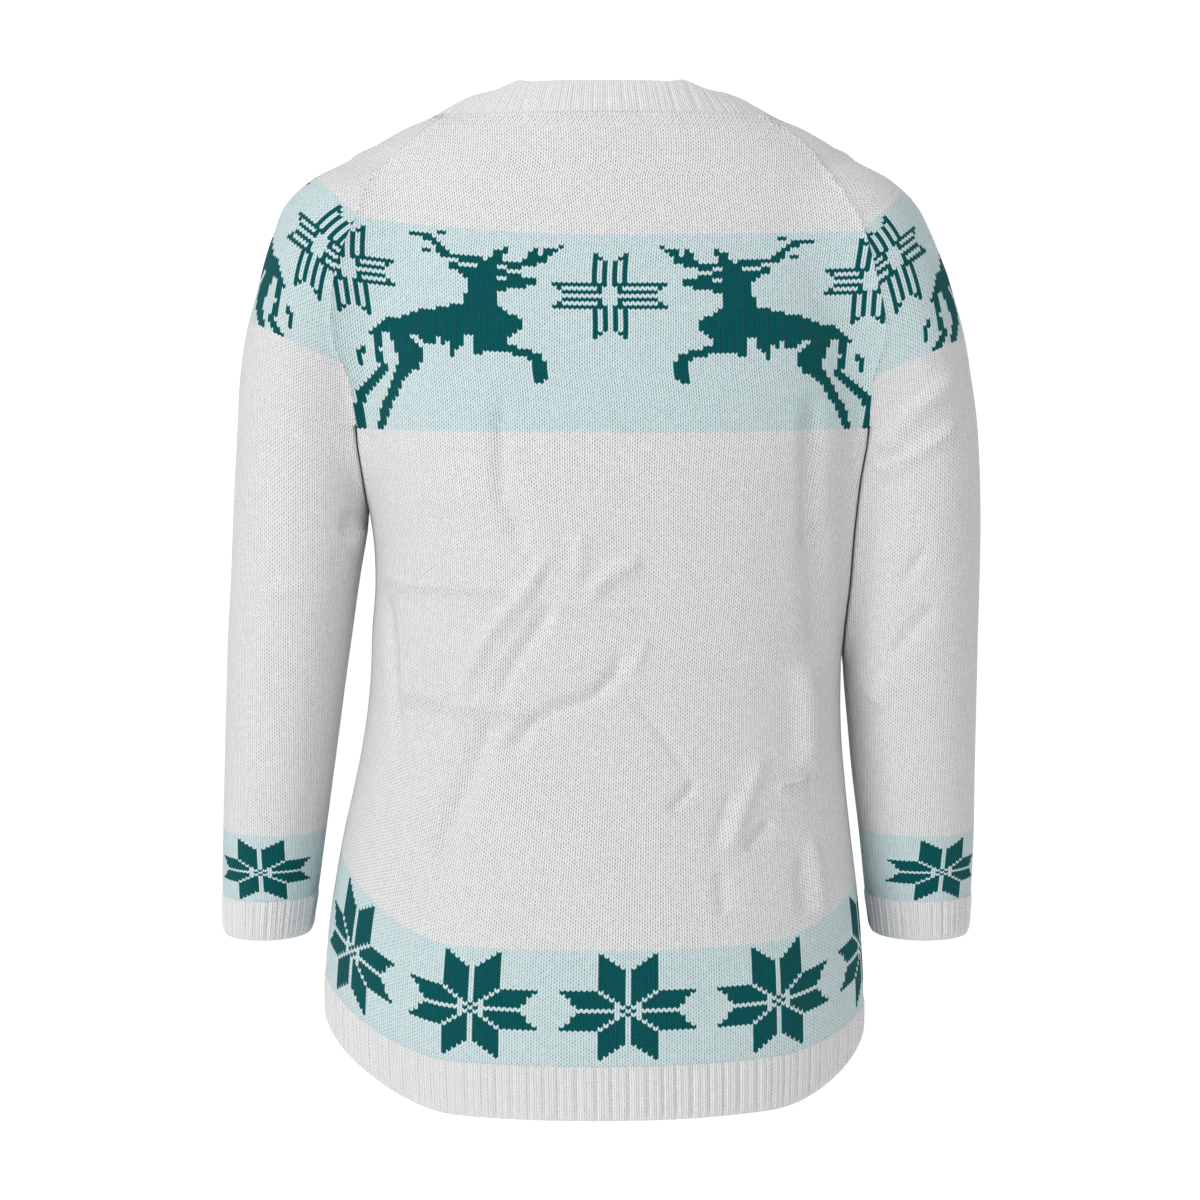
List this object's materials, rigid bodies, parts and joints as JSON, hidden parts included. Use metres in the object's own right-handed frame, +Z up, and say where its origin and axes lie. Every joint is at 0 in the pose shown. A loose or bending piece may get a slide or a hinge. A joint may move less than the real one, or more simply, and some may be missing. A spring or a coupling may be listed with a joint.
{
  "type": "christmas sweater",
  "caption": "White raglan knit Christmas sweater in worn hollow form, with pale blue bands of dark teal reindeer, snowflakes and stars, and ribbed neck, cuffs and hem.",
  "frame": {"origin": "middle of the neck opening, level with the neck seam at the back, where the garment is held on its wearer", "axes": "+Z up the body, -Y out of the garment's back, +X towards the wearer's right"},
  "size_m": [0.5371, 0.266, 0.6946],
  "materials": {
    "jersey_knit": "plain stockinette in matt acrylic yarn, with pale blue bands and dark teal motifs knitted in",
    "rib_knit": "ribbed knit in matt acrylic yarn"
  },
  "bodies": {
    "root": {"back_panel": "jersey_knit", "front_panel": "jersey_knit", "sleeve_left": "jersey_knit", "sleeve_right": "jersey_knit", "neckband": "rib_knit", "hem_rib_back": "rib_knit", "hem_rib_front": "rib_knit", "cuff_left": "rib_knit", "cuff_right": "rib_knit"}
  },
  "joints": []
}
